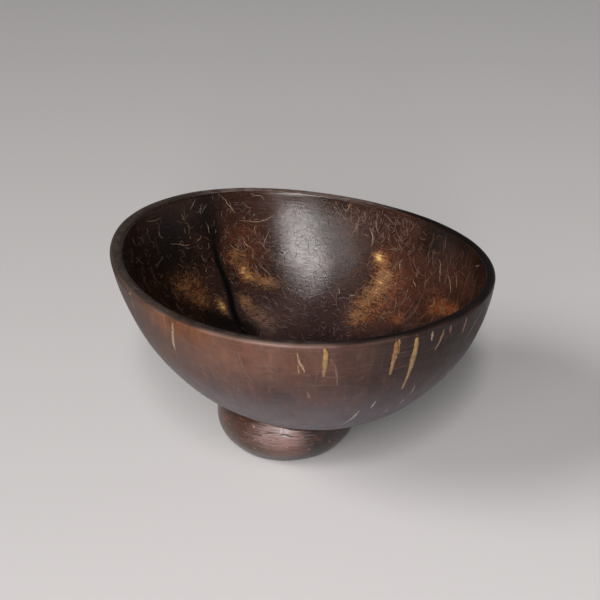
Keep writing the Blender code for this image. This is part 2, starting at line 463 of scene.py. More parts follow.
# Marks on the outside where golden or pale fibre lies bare: path from the top down, greatest
# width in mm, where that is along the mark, and the colours at its ends.
STREAKS = [
    ([215.2, 0.5, 215, 2], 1.6, 0.5, GOLD, AMBER), ([215.5, 3, 214.5, 7.5], 1, 0.3, AMBER, FAINT),
    ([235.2, 1, 233.7, 7, 232.5, 10.5, 232.4, 14], 1.8, 0.55, TAN, PALE),
    ([254.2, 4.5, 254, 9, 255, 13, 256.5, 17], 1.3, 0.4, FAINT, FAINT),
    ([247, 2, 248, 4.4], 1, 0.4, FAINT, FAINT), ([259, 6, 263.5, 10], 0.6, 0.5, FAINT, FAINT),
    ([269.2, 2.2, 269.8, 6, 271.2, 10.8], 1.3, 0.6, TAN, PALE),
    ([269.4, 7, 269.6, 11.2], 1.1, 0.6, AMBER, TAN),
    ([276.7, 0.3, 276.6, 4.5, 276.4, 9, 276, 12.9], 2.7, 0.34, GOLD, TAN),
    ([277.5, 4, 279.6, 8.5, 280.2, 17], 0.9, 0.5, FAINT, MAUVE),
    ([271.5, 18.6, 272.3, 22.6], 1, 0.5, MAUVE, MAUVE),
    ([298.1, 0.3, 297.9, 5, 297.2, 9], 1.9, 0.3, GOLD, GOLD),
    ([296.9, 0.5, 297, 5, 296.6, 9.5, 296.4, 15.2], 2.9, 0.25, AMBER, TAN),
    ([304, 0.3, 304.1, 6, 303.6, 14, 303, 24.6], 3.1, 0.22, GOLD, TAN),
    ([310.2, 1, 310, 5], 1.4, 0.4, PALE, ROSE),
    ([315.2, 1.6, 314.6, 5, 312.2, 9.8], 1.6, 0.4, FAINT, TAN),
    ([318, 1.5, 318.2, 5], 1.5, 0.4, FAINT, FAINT),
    ([326, 1.5, 325, 7.8], 1.7, 0.5, AMBER, FAINT),
    ([338, 2.9, 331, 8.8, 328, 13.4], 0.7, 0.4, PALE, FAINT),
    ([308.8, 22.8, 309.8, 29], 1, 0.4, MAUVE, MIST),
    ([308, 30, 307.8, 33.5], 1.2, 0.5, MIST, MIST),
    ([303.2, 34, 302.8, 37.5], 1.3, 0.5, MIST, MAUVE),
    ([294.2, 26, 293.4, 30.4], 1.4, 0.4, MIST, MIST),
    ([289.6, 29.8, 288, 35.5, 284.6, 41.5], 1.4, 0.4, MIST, MIST),
]


def unseen_streaks():
    """More marks of the same kinds round the back."""
    rng = np.random.default_rng(41)
    made = []
    for centre in (350, 12, 33, 52, 75, 97, 118, 139, 158, 176, 193):
        for _ in range(rng.integers(2, 5)):
            azimuth = centre + rng.uniform(-8, 8)
            kind = rng.choice(["golden", "faint", "pale"], p=[0.35, 0.35, 0.3])
            top = rng.uniform(0.4, 4) if kind != "pale" else rng.uniform(14, 34)
            length = rng.uniform(4, 17) if kind == "golden" else rng.uniform(3, 7)
            path = [azimuth, top, azimuth + rng.normal(0, 0.03) * length, top + length]
            if kind == "golden":
                first, last = (AMBER, GOLD) if rng.random() < 0.4 else (GOLD, TAN)
                width = rng.uniform(0.8, 1.4) + 0.06 * length
            else:
                first, last = (FAINT, ROSE) if kind == "faint" else (MIST, MAUVE)
                width = rng.uniform(0.6, 1.2)
            made.append((path, width, rng.uniform(0.2, 0.5), first, last))
    return made


def bare_marks():
    """Every mark on the outside, a little ragged and of uneven width."""
    rng = np.random.default_rng(17)
    paths, widths, tints = [], [], []
    for path, width, widest, first, last in STREAKS + unseen_streaks():
        drawn = eased(path)
        ragged = rng.normal(0, 1, STRAND_RINGS)
        drawn[:, 0] += 0.07 * ragged * min(width, 1.6)
        paths.append(drawn)
        widths.append(width * taper(widest) * (1 + 0.1 * rng.normal(size=STRAND_RINGS)))
        tints.append(blend(first, last, np.linspace(0, 1, STRAND_RINGS)[:, None]))
    return strands("bare_marks", False, np.array(paths), np.array(widths), np.array(tints))


# The longest loose fibres on the inside, each with its strength.
LONG_FIBRES = [
    ([128, 0.9, 129.3, 2.2, 131.8, 5], 0.35), ([119.5, 0.9, 118, 2.2, 116.5, 5.5, 114, 9], 0.6),
    ([114.5, 11, 109.5, 11.6, 105.7, 11.8, 101.2, 10.3, 99.4, 8], 0.55),
    ([108.5, 0.9, 106.5, 2.1, 104, 1.8, 103.7, 4.2], 0.45),
    ([101.9, 13.7, 104.2, 17.2, 106.4, 20.4, 104, 22.4], 0.3),
    ([113.2, 16.6, 113.4, 18.8, 112.2, 20.2, 110.4, 21.2], 0.45),
    ([145, 13.9, 140.6, 15.1, 137.6, 16.8, 135.6, 16.2], 0.45),
    ([133.6, 16.4, 131.1, 15.6, 129.6, 14.5], 0.3),
    ([119.5, 18.4, 118.7, 20.4, 116.2, 21.2, 115.7, 22.4], 0.6),
    ([169.4, 9.6, 167.6, 12.2, 166, 14.1], 0.35), ([159, 18.2, 155.8, 17.2, 151.5, 17], 0.3),
    ([154.3, 2.4, 150.2, 4, 145.7, 4.4], 0.4), ([71.7, 0.9, 72.2, 3.1, 73.4, 5.3], 0.5),
    ([68.2, 6.8, 69.5, 9.2, 68.8, 10.7, 70.5, 12.6, 71.7, 15.1], 0.3),
    ([64.2, 8.6, 62.2, 11.6, 62, 13.9, 62.4, 16.2], 0.7), ([73.3, 32.3, 72.8, 34.1], 0.6),
    ([68.1, 34, 64.4, 33], 0.5), ([41.6, 22, 38.1, 24.3], 0.45),
    ([45.3, 29.9, 44, 31.6, 43.3, 33.3], 0.4),
    ([33.2, 11.4, 31, 12.6, 30.2, 15.8, 28.2, 19.2], 0.5),
    ([26.5, 14.5, 23.3, 16.6, 20, 20], 0.5), ([22, 12.8, 20.4, 14.6, 18.3, 16.8], 0.4),
    ([27.7, 23.8, 25.2, 26, 26.9, 27.7], 0.6), ([12.1, 5.1, 8.2, 2.9], 0.75),
]


def wandering(rng, azimuth, depth, length, heading, curl):
    """A fibre's path on the inside from its middle: `heading` is in radians from level."""
    step = length / (STRAND_RINGS - 1)
    bend = rng.normal(0, curl) + curl * rng.normal(size=STRAND_RINGS).cumsum() * 0.5
    turns = heading + np.cumsum(bend) * step
    level = np.cumsum(np.cos(turns)) * step
    down = np.cumsum(np.sin(turns)) * step
    reach = sqrt(max(INNER_RADIUS**2 - (SHELL_RADIUS - RIM_HEIGHT + depth) ** 2, 60))
    level = (level - level.mean()) / reach * 180 / pi
    down = (down - down.mean()) * reach / INNER_RADIUS
    return np.stack([azimuth + level, depth + down], -1)


# How loose fibres are scattered over the inside: number, azimuths, depths, lengths in mm,
# how far they stray from running down the wall in radians, curl, strengths and colour.
SCATTER = [
    (330, (0, 360), (1.5, 50), (2, 7.5), 3.2, 0.28, (0.03, 0.4), THREAD),
    (70, (-20, 54), (2, 34), (5, 15), 0.22, 0.05, (0.05, 0.38), ROSE),
    (110, (-20, 60), (4, 38), (2.5, 7), 0.7, 0.22, (0.06, 0.4), ROSE),
    (130, (44, 86), (1.2, 15), (2, 6), 0.6, 0.2, (0.08, 0.5), ROSE),
    (150, (126, 188), (3, 36), (1.5, 6), 3.2, 0.35, (0.06, 0.55), THREAD),
    (80, (46, 80), (1, 8), (2, 6), 0.55, 0.22, (0.06, 0.42), ROSE),
    (150, (58, 116), (32, 50), (1.5, 6), 3.2, 0.16, (0.05, 0.36), MIST),
    (60, (101, 124), (2, 34), (2, 6), 3.2, 0.35, (0.06, 0.4), THREAD),
    (60, (188, 350), (2, 40), (3, 9), 3.2, 0.25, (0.1, 0.45), THREAD),
]


def loose_fibres():
    """Every fibre on the inside that stays clear of the suture, the rim and the bottom."""
    rng = np.random.default_rng(23)
    found = []
    for path, strength in LONG_FIBRES:
        drawn = eased(path)
        drawn[1:-1] += rng.normal(0, 0.1, (STRAND_RINGS - 2, 2))
        found.append((drawn, 0.38, min(1.3 * strength, 0.85), THREAD))
    for count, azimuths, depths, lengths, stray, curl, strengths, colour in SCATTER:
        for _ in range(count):
            azimuth, depth = rng.uniform(*azimuths), rng.uniform(*depths)
            heading = pi / 2 + rng.uniform(-stray, stray)
            length = lengths[0] + (lengths[1] - lengths[0]) * rng.random() ** 2
            path = wandering(rng, azimuth, depth, length, heading, curl)
            strength = strengths[0] + (strengths[1] - strengths[0]) * rng.random() ** 2
            found.append((path, rng.uniform(0.22, 0.4), strength, colour))
    for azimuth, depth, wide, tall, strength in PATCHES["gold"]:
        for _ in range(int(0.45 * wide * tall * strength) + 3):
            spot = rng.normal(0, 0.62, 2)
            path = wandering(
                rng, azimuth + spot[0] * wide * 1.2, depth + spot[1] * tall * 1.2,
                rng.uniform(1.4, 4.2), rng.uniform(0, TAU), 0.45,
            )
            found.append((path, rng.uniform(0.16, 0.32), rng.uniform(0.1, 0.42), HONEY))
    kept = []
    for path, width, strength, colour in found:
        azimuth, depth = path[:, 0], path[:, 1]
        reach = np.sqrt(INNER_RADIUS**2 - (SHELL_RADIUS - RIM_HEIGHT + depth) ** 2)
        clear = np.abs(suture_offset(SUTURES[0], azimuth, depth, reach)).min() > 1.3
        if clear and depth.min() > 0.85 and depth.max() < 50:
            kept.append((path, width, strength, colour))
    paths, widths, strengths, colours = (np.array(column) for column in zip(*kept))
    slender = np.sin(np.linspace(0.06, 0.94, STRAND_RINGS) * pi) ** 0.5
    widths = widths[:, None] * slender
    widths *= 1 + 0.15 * rng.normal(size=widths.shape)
    strengths = strengths[:, None] * slender**1.5
    tints = blend(SHELL_DARK, colours[:, None], strengths[..., None])
    return strands("loose_fibres", True, paths, widths, tints)


# ---- the foot and the glue
FOOT_COLUMNS = 300
FOOT_OUTER_RINGS = 60
FOOT_TOP_RINGS = 9
FOOT_INNER_RINGS = 31
FOOT_BASE_RINGS = 7
GLUE_EDGE_RINGS = 9
foot_angles = np.arange(FOOT_COLUMNS) * TAU / FOOT_COLUMNS


def foot_wall(angle, inner, lift=0):
    """(radius, height) on the foot's outer or inner side, at an angle about its widest."""
    less = FOOT_WALL if inner else 0
    out = -lift if inner else lift
    return (
        (FOOT_RADIUS - less) * np.cos(angle) + out * np.cos(angle),
        FOOT_WIDEST + (FOOT_HALF_HEIGHT - less) * np.sin(angle) + out * np.sin(angle),
    )


def foot_place(radius, height):
    parts = [
        FOOT_X + radius * np.cos(foot_angles), FOOT_Y + radius * np.sin(foot_angles), height
    ]
    return np.stack(np.broadcast_arrays(*parts), -1)


def bisect(low, high, is_clear):
    """For each column, the highest value that is still clear."""
    low, high = np.full(FOOT_COLUMNS, low), np.full(FOOT_COLUMNS, high)
    for _ in range(40):
        middle = (low + high) / 2
        clear = is_clear(middle)
        low, high = np.where(clear, middle, low), np.where(clear, high, middle)
    return low


def foot_limits(inner):
    """The angles of the foot's base and, for each column, of its top under the bowl."""
    half = FOOT_HALF_HEIGHT - (FOOT_WALL if inner else 0)
    top = asin((FOOT_BLANK_TOP - FOOT_WIDEST) / half) if not inner else 1.2
    high = bisect(-0.2, top, lambda a: off_bowl(foot_place(*foot_wall(a, inner))) > GAP)
    return asin(-FOOT_WIDEST / half), high


def height_below(radius, gap):
    """The height in each column at which a place is `gap` below the bowl."""
    return bisect(0.0, 40.0, lambda h: off_bowl(foot_place(radius, h)) > gap)


outer_base, outer_top = foot_limits(False)
inner_base, inner_top = foot_limits(True)
foot_out = foot_wall(outer_top, False)[0]
foot_in = foot_wall(inner_top, True)[0]

# Short cracks and chips in the foot: azimuth, height in mm, half width in degrees, half
# height in mm and depth in mm.
FOOT_CRACKS = [
    (271, 14.2, 6, 0.25, 0.16), (256, 14.6, 5, 0.2, 0.1), (268, 16.6, 0.7, 1.4, 0.1),
    (262, 12.8, 9, 0.16, 0.07), (248, 13, 7, 0.2, 0.07), (40, 12, 8, 0.25, 0.2),
    (115, 8.5, 7, 0.22, 0.16), (170, 14, 6, 0.25, 0.2), (330, 9, 8, 0.2, 0.14),
]


def crack_depth(azimuth, height):
    total = np.zeros(azimuth.shape)
    for a, h, wide, tall, deep in FOOT_CRACKS:
        sway = 0.35 * np.sin(np.radians(azimuth) * 23 + a)
        crack = deep * hump(turn(azimuth, a), wide) * hump(height - h - sway, tall)
        total = np.maximum(total, crack)
    return total


def foot_rings():
    """Rings from the base up the outside, over the top and down the inside. Each run of
    rings stops just short of its corners, which leaves them slightly rounded."""
    rings, cracks = [], []

    def wall_ring(angle, inner):
        plain = foot_place(*foot_wall(angle, inner))
        crack = crack_depth(np.degrees(foot_angles), plain[:, 2]) * (0 if inner else 1)
        lift = 0.14 * waves(plain, 16, 8) + 0.03 * waves(plain, 5, 9) - crack
        rings.append(foot_place(*foot_wall(angle, inner, lift)))
        cracks.append(crack)

    def plain_ring(radius, height):
        rings.append(foot_place(radius, height))
        cracks.append(np.zeros(FOOT_COLUMNS))

    for share in np.linspace(0.02, 0.985, FOOT_OUTER_RINGS):
        wall_ring(outer_base + (outer_top - outer_base) * share, False)
    for share in np.linspace(0.04, 0.96, FOOT_TOP_RINGS):
        radius = foot_out + (foot_in - foot_out) * share
        plain_ring(radius, height_below(radius, GAP))
    for share in np.linspace(0.985, 0.02, FOOT_INNER_RINGS):
        wall_ring(inner_base + (inner_top - inner_base) * share, True)
    base_out, base_in = foot_wall(outer_base, False)[0], foot_wall(inner_base, True)[0]
    for share in np.linspace(0.05, 0.95, FOOT_BASE_RINGS):
        plain_ring(base_in + (base_out - base_in) * share, 0)
    return np.array(rings), np.array(cracks)


foot_stack, foot_cracks = foot_rings()
foot, used = ring_mesh("coconut_foot", foot_stack[None], closed_loop=True)
foot_axis = np.array([FOOT_X, FOOT_Y, 0])
give(foot, used, "blank", foot_stack - foot_axis, 3)
give(foot, used, "crack", foot_cracks)
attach(foot, "root")
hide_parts("foot_ring")

GLUE_SKIN = 0.2  # the glue's clearance to the bowl and to the foot
GLUE_BULGE = 0.45  # how far the glue stands out past the foot's walls
GLUE_INSET = 0.2  # how far its edges start inside them


def glue_rings():
    """A bead that fills the gap, with rounded and slightly uneven squeezed-out edges."""
    half = GAP / 2 - GLUE_SKIN
    lumps = 0.18 * waves(foot_place(FOOT_RADIUS, 0), 7, 11)
    section = []
    for start, radius, way in ((0, foot_out, 1), (pi, foot_in, -1)):
        for turned in np.linspace(-pi / 2, pi / 2, GLUE_EDGE_RINGS):
            a = start + turned
            bulge = (GLUE_BULGE + GLUE_INSET + lumps) * abs(cos(a)) - GLUE_INSET
            section.append((radius + way * bulge, GAP / 2 - half * sin(a)))
    return np.array([foot_place(rad, height_below(rad, gap)) for rad, gap in section])


glue_stack = glue_rings()
glue, used = ring_mesh("glue_line", glue_stack[None], closed_loop=True)
give(glue, used, "blank", glue_stack - foot_axis, 3)
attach(glue, "root")
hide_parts("glue_bead")


# ---- materials
class Shader:
    """Builds one material, or the world. Most calls add a node and give its output."""

    def __init__(self, name, kind=bpy.data.materials, shader="Principled BSDF"):
        self.owner = kind.new(name)
        self.owner.use_nodes = True
        self.nodes = self.owner.node_tree.nodes
        self.links = self.owner.node_tree.links
        self.surface = self.nodes[shader]
        self.colour = self.place = None

    def put(self, socket, value):
        if isinstance(value, bpy.types.NodeSocket):
            self.links.new(value, socket)
        elif value is not None:
            socket.default_value = value

    def add(self, kind, inputs=(), **settings):
        """Adds a node whose inputs are given in order, or by name in a dictionary."""
        node = self.nodes.new(kind)
        for key, value in settings.items():
            setattr(node, key, value)
        pairs = inputs.items() if isinstance(inputs, dict) else enumerate(inputs)
        for key, value in pairs:
            self.put(node.inputs[key], value)
        return node

    def math(self, operation, a, b=None, c=None):
        return self.add("ShaderNodeMath", (a, b, c), operation=operation).outputs[0]

    def plus(self, a, b):
        return self.math("ADD", a, b)

    def times(self, a, b):
        return self.math("MULTIPLY", a, b)

    def centred(self, noise):
        return self.plus(noise, -0.5)

    def vector(self, operation, a, b=None):
        node = self.add("ShaderNodeVectorMath", (a, b), operation=operation)
        return node.outputs["Value" if operation == "DOT_PRODUCT" else "Vector"]

    def scaled(self, a, factor):
        inputs = {0: a, "Scale": factor}
        return self.add("ShaderNodeVectorMath", inputs, operation="SCALE").outputs["Vector"]

    def step(self, value, low, high, to_low=0, to_high=1, smoothly=True):
        inputs = {
            "Value": value, "From Min": low, "From Max": high, "To Min": to_low, "To Max": to_high
        }
        kind = "SMOOTHSTEP" if smoothly else "LINEAR"
        return self.add("ShaderNodeMapRange", inputs, interpolation_type=kind).outputs["Result"]

    def attribute(self, name, vector=False):
        node = self.add("ShaderNodeAttribute", attribute_name=name)
        return node.outputs["Vector" if vector else "Fac"]

    def noise(self, scale, detail, roughness, place=None):
        place = place or self.place
        inputs = {"Vector": place, "Scale": scale, "Detail": detail, "Roughness": roughness}
        return self.add("ShaderNodeTexNoise", inputs).outputs["Fac"]

    def mix(self, factor, a, b):
        node = self.add("ShaderNodeMix", data_type="RGBA")
        self.put(node.inputs["Factor"], factor)
        sockets = [s for s in node.inputs if s.type == "RGBA"]
        for socket, shade in zip(sockets, (a, b)):
            self.put(socket, tone(*shade) if isinstance(shade, tuple) else shade)
        return [s for s in node.outputs if s.type == "RGBA"][0]

    def lay(self, factor, shade):
        """Lays a shade over the material's colour."""
        self.colour = self.mix(factor, self.colour, shade)

    def tint(self, value, low, high, most, shade):
        """Lays a shade over it, by up to `most`, as value goes from low to high."""
        self.lay(self.step(value, low, high, 0, most), shade)

    def split(self, vector):
        return self.add("ShaderNodeSeparateXYZ", (vector,)).outputs

    def join(self, x, y, z):
        return self.add("ShaderNodeCombineXYZ", (x, y, z)).outputs[0]

    def bump(self, height, distance, strength):
        inputs = {"Height": height, "Distance": distance, "Strength": strength}
        return self.add("ShaderNodeBump", inputs).outputs["Normal"]

    def finish(self, rough, normal=None, specular=0.5, coat=0, coat_rough=0.03):
        inputs = {
            "Base Color": self.colour, "Roughness": rough, "Normal": normal, "Coat Weight": coat,
            "Specular IOR Level": specular, "Coat Roughness": coat_rough,
        }
        for name, value in inputs.items():
            self.put(self.surface.inputs[name], value)
        return self.owner


def blank_shader(name):
    """A material that knows each point's place in the round blank, in mm."""
    s = Shader(name)
    s.place = s.attribute("blank", vector=True)
    return s


def unrolled(s):
    """Coordinates in mm along the surface: two that turn with azimuth, and the distance
    along the wall from the lowest point."""
    x, y, h = s.split(s.place)
    radius = s.math("SQRT", s.plus(s.times(x, x), s.times(y, y)))
    unroll = s.math("DIVIDE", SHELL_RADIUS, s.math("MAXIMUM", radius, 0.5))
    up = s.times(s.math("ARCTAN2", radius, s.math("SUBTRACT", SHELL_RADIUS, h)), SHELL_RADIUS)
    return s.times(x, unroll), s.times(y, unroll), up


def level_way(s):
    """The level direction of the place from the axis, as a vector of length 1."""
    return s.vector("NORMALIZE", s.vector("MULTIPLY", s.place, (1, 1, 0)))


def grain_noise(s, lines, around, down, detail, roughness, shift=0):
    """Noise whose cells are `around` mm wide and `down` mm long on the surface."""
    x, y, z = lines
    x = s.plus(s.times(x, 1 / around), shift)
    stretched = s.join(x, s.times(y, 1 / around), s.times(z, 1 / down))
    return s.noise(1, detail, roughness, stretched)


def fibres(s, cell, half_length, half_width, curl, density, seed, along=0):
    """Short loose fibres scattered over the shell: a curly line in each cell of a Voronoi
    pattern, at a random angle, or mostly down the wall where `along` is near 1. Gives the
    lines' strength and a random number for each."""
    moved = s.vector("ADD", s.place, (seed * 7.3, seed * 3.1, seed * 5.7))
    cells = s.add("ShaderNodeTexVoronoi", {"Vector": moved, "Scale": 1 / cell})
    random = cells.outputs["Color"]
    local = s.vector("SUBTRACT", moved, cells.outputs["Position"])
    radial = s.vector("NORMALIZE", s.vector("SUBTRACT", s.place, (0, 0, SHELL_RADIUS)))
    way = s.vector("SUBTRACT", random, (0.5, 0.5, 0.5))
    if along > 0:
        level = s.vector("NORMALIZE", s.vector("CROSS_PRODUCT", (0, 0, 1), radial))
        down = s.vector("CROSS_PRODUCT", radial, level)
        way = s.vector("ADD", s.scaled(way, 1 - along), s.scaled(down, along))
    side = s.vector("NORMALIZE", s.vector("CROSS_PRODUCT", radial, way))
    forward = s.vector("CROSS_PRODUCT", side, radial)
    run = s.vector("DOT_PRODUCT", local, forward)
    off = s.vector("DOT_PRODUCT", local, side)
    first, second, third = s.split(random)
    along_it = s.join(s.times(run, 0.42), s.times(first, 60), s.times(second, 60))
    wobble = s.noise(1, 1.5, 0.5, along_it)
    bend = s.times(s.times(run, run), s.times(s.centred(third), 0.22))
    off = s.plus(s.plus(off, s.times(s.centred(wobble), curl)), bend)
    ends = s.step(s.math("ABSOLUTE", run), half_length, half_length * 0.45)
    width = s.times(s.plus(s.times(first, 0.7), 0.65), half_width)
    line = s.step(s.math("ABSOLUTE", off), width, s.times(width, 0.3))
    present = s.math("LESS_THAN", second, density)
    return s.times(s.times(line, ends), present), third


def shell_outside():
    s = blank_shader("polished_shell_outside")
    lines = unrolled(s)
    up = lines[2]
    broad = s.noise(0.045, 3, 0.55)
    patchy = s.noise(0.16, 4, 0.6)
    grain = grain_noise(s, lines, 0.9, 7, 3, 0.6)
    fine = s.noise(1.4, 3, 0.6)
    cloud = s.noise(0.07, 5, 0.75)
    s.colour = s.mix(s.step(broad, 0.3, 0.7), (40, 27, 24), (58, 40, 35))
    # Painted bluish-grey reflection low on the outside wall.
    s.tint(up, 90, 50, 0.85, (82, 77, 85))
    s.tint(cloud, 0.35, 0.8, 0.22, (104, 80, 72))
    rosy = s.times(s.attribute("rosy"), s.step(patchy, 0.25, 0.75, 0.5, 1.1))
    s.lay(rosy, (90, 62, 53))
    rust = s.times(s.attribute("rust"), s.step(s.plus(patchy, grain), 0.7, 1.3, 0.15, 1.2))
    s.lay(rust, (92, 56, 31))
    s.tint(patchy, 0.48, 0.8, 0.5, (96, 62, 50))
    s.tint(grain, 0.52, 0.8, 0.2, (108, 74, 60))
    s.tint(grain, 0.46, 0.22, 0.2, (28, 17, 16))
    smear = grain_noise(s, lines, 2.6, 6, 5, 0.68, 5)
    s.tint(smear, 0.52, 0.74, 0.3, (130, 98, 82))
    s.tint(smear, 0.48, 0.28, 0.28, (38, 24, 21))
    hair, pick = fibres(s, 5, 2.6, 0.18, 0.7, 0.6, 2, along=0.7)
    s.lay(s.times(hair, s.step(pick, 0.2, 1, 0, 0.24)), (136, 106, 92))
    s.tint(fine, 0.62, 0.8, 0.25, (130, 92, 74))
    toward_x = s.split(level_way(s))[0]
    # Painted shade on the outside's +X side, the side away from the light.
    painted_shade_right = s.times(s.step(toward_x, -0.2, 0.7), s.step(up, 66, 88, 0.36, 0.85))
    s.lay(painted_shade_right, (27, 19, 19))
    to_left = s.times(s.step(toward_x, -0.66, -0.92, 0, 0.85), s.step(up, 78, 90, 0.55))
    s.lay(to_left, (34, 20, 14))
    # More painted bluish-grey reflection low on the outside wall.
    s.tint(up, 80, 44, 0.35, (85, 82, 90))
    s.lay(s.attribute("seam"), (22, 14, 12))
    scratch = grain_noise(s, lines, 8, 0.3, 3, 0.65, 3)
    s.tint(scratch, 0.54, 0.76, 0.35, (132, 104, 92))
    # Painted highlight along the rim's outer rounding, strongest on the near side.
    s.lay(s.times(s.attribute("painted_edge_highlight"), 0.5), (150, 126, 116))
    height = s.plus(s.times(grain, 0.45), s.plus(s.times(scratch, 0.3), s.times(fine, 0.25)))
    rough = s.step(grain, 0.3, 0.75, 0.36, 0.46, False)
    rough = s.plus(rough, s.step(patchy, 0.3, 0.7, -0.03, 0.05))
    return s.finish(rough, s.bump(height, 0.0001, 0.45), 0.14)


def shell_inside():
    s = blank_shader("polished_shell_inside")
    lines = unrolled(s)
    up = lines[2]
    broad = s.noise(0.05, 3, 0.55)
    patchy = s.noise(0.19, 5, 0.62)
    blotch = s.noise(0.42, 4, 0.65)
    hatch = grain_noise(s, lines, 4.5, 0.55, 4, 0.62)
    fine = s.noise(1.5, 4, 0.65)
    s.colour = s.mix(s.step(broad, 0.32, 0.68), (27, 16, 13), (49, 30, 24))
    s.tint(patchy, 0.45, 0.8, 0.5, (74, 48, 39))
    s.tint(up, 66, 42, 0.45, (58, 45, 48))
    s.lay(s.times(s.attribute("red"), s.step(patchy, 0.3, 0.7, 0.4, 1)), (76, 40, 27))
    # Dark staining together with painted shade: the near-left rim's painted shadow and the shaded
    # left wall.
    dark_and_shade = s.times(s.attribute("dark_and_shade"), s.step(broad, 0.3, 0.7, 1, 0.7))
    s.lay(dark_and_shade, (15, 8, 6))
    long_tangle = fibres(s, 2.6, 1.9, 0.17, 1.1, 0.95, 3)[0]
    short_tangle = fibres(s, 1.9, 1.5, 0.13, 0.9, 0.95, 6)[0]
    fuzz = s.math("MAXIMUM", long_tangle, s.times(short_tangle, 0.8))
    torn = s.plus(s.times(s.centred(fine), 0.7), s.times(s.centred(blotch), 2))
    orange_at = s.attribute("orange")
    orange = s.step(s.plus(orange_at, s.times(torn, 0.55)), 0.1, 0.95)
    orange = s.times(orange, s.step(orange_at, 0.03, 0.3))
    s.lay(s.times(orange, 0.85), (112, 60, 30))
    gold_at = s.attribute("gold")
    ragged = s.plus(s.times(torn, 0.75), s.times(s.centred(hatch), 0.9))
    gold_core = s.plus(gold_at, s.plus(ragged, s.times(fuzz, 0.15)))
    gold = s.times(s.step(gold_core, 0.15, 1), s.step(gold_at, 0.04, 0.3))
    brown = s.mix(s.step(blotch, 0.38, 0.62), (146, 103, 56), (126, 86, 54))
    s.lay(s.times(gold, 0.85), brown)
    s.tint(gold_core, 0.8, 1.3, 0.95, (212, 172, 108))
    mauve = s.times(s.attribute("mauve"), s.step(s.plus(blotch, hatch), 0.7, 1.2, 0.4, 1.1))
    s.lay(mauve, (112, 86, 78))
    near_gold = s.plus(gold_at, orange_at)
    lit = s.times(fuzz, s.step(near_gold, 0.08, 0.7, 0.04, 0.3))
    s.lay(lit, (176, 130, 82))
    crack = s.times(s.step(hatch, 0.48, 0.34), s.step(near_gold, 0.1, 0.6, 0.25, 0.7))
    s.lay(crack, (34, 20, 13))
    scratch = grain_noise(s, lines, 5, 0.42, 4, 0.7, 3)
    scratched = s.times(s.step(scratch, 0.56, 0.76, 0, 0.35), s.step(dark_and_shade, 0.1, 0.8, 1, 0.25))
    s.lay(scratched, (104, 80, 70))
    # Deepens the same dark staining and painted shade.
    s.tint(dark_and_shade, 0.5, 1.1, 0.7, (11, 6, 4))
    seam = s.step(s.plus(s.attribute("seam"), s.times(s.centred(blotch), 0.25)), 0.12, 0.8)
    s.lay(seam, (5, 4, 4))
    cut = fibres(s, 2.8, 1.9, 0.1, 0.6, 0.9, 9)[0]
    height = s.plus(s.times(scratch, 0.7), s.plus(s.times(fine, 0.2), s.times(cut, -0.4)))
    rough = s.plus(s.step(scratch, 0.34, 0.66, 0.12, 0.29, False), s.times(gold, 0.14))
    return s.finish(rough, s.bump(height, 0.00016, 0.6), 0.45)


def cut_rim():
    s = blank_shader("sanded_rim")
    lines = unrolled(s)
    along = grain_noise(s, lines, 3.5, 0.4, 3, 0.6)
    pores = s.noise(1.8, 3, 0.65)
    s.colour = s.mix(s.step(along, 0.35, 0.7), (40, 32, 29), (72, 61, 54))
    s.tint(pores, 0.58, 0.72, 0.8, (18, 12, 10))
    s.tint(pores, 0.4, 0.28, 0.7, (118, 104, 94))
    toward_x, toward_y, _ = s.split(level_way(s))
    across = s.plus(s.attribute("across"), s.times(s.centred(pores), 0.5))
    s.tint(across, 0.5, 0, 0.8, (58, 41, 35))
    s.tint(across, 0.5, 1, 0.8, (15, 10, 9))
    # Light grey on the rim's -X side: partly the cut face's own specks, partly painted sheen.
    speckled_sheen = s.mix(s.step(pores, 0.35, 0.6), (84, 78, 70), (46, 38, 35))
    s.tint(toward_x, -0.4, -0.8, 0.4, speckled_sheen)
    # Painted shade on the rim's +X side.
    s.tint(toward_x, -0.02, 0.38, 0.93, (15, 10, 9))
    # Painted highlight along the far (+Y) side of the rim.
    painted_highlight = s.mix(s.step(along, 0.35, 0.65), (74, 56, 50), (112, 98, 92))
    s.tint(toward_y, 0.72, 0.98, 0.9, painted_highlight)
    # Painted highlight along the rim's outer rounding, strongest on the near side.
    s.lay(s.times(s.attribute("painted_edge_highlight"), 0.35), (150, 126, 116))
    height = s.plus(s.times(s.noise(5.5, 3, 0.7), 0.5), s.times(pores, 0.5))
    rough = s.step(along, 0.3, 0.7, 0.34, 0.48, False)
    return s.finish(rough, s.bump(height, 0.00012, 0.5), 0.15)


def bare_fibre(name, roughness):
    """Fibre that lies bare in the polished wall, in each strand's own colour."""
    s = blank_shader(name)
    cells = s.noise(0.95, 5, 0.7)
    fine = s.noise(3.2, 3, 0.6)
    tint = s.attribute("tint", vector=True)
    s.colour = s.mix(s.step(cells, 0.38, 0.66, 0, 0.6), tint, (74, 48, 34))
    s.tint(fine, 0.55, 0.8, 0.15, (200, 170, 124))
    height = s.plus(s.times(cells, 0.5), s.times(fine, 0.5))
    rough = s.step(fine, 0.3, 0.7, roughness, roughness + 0.1, False)
    return s.finish(rough, s.bump(height, 0.0001, 0.5), 0.5, 0.15, 0.35)


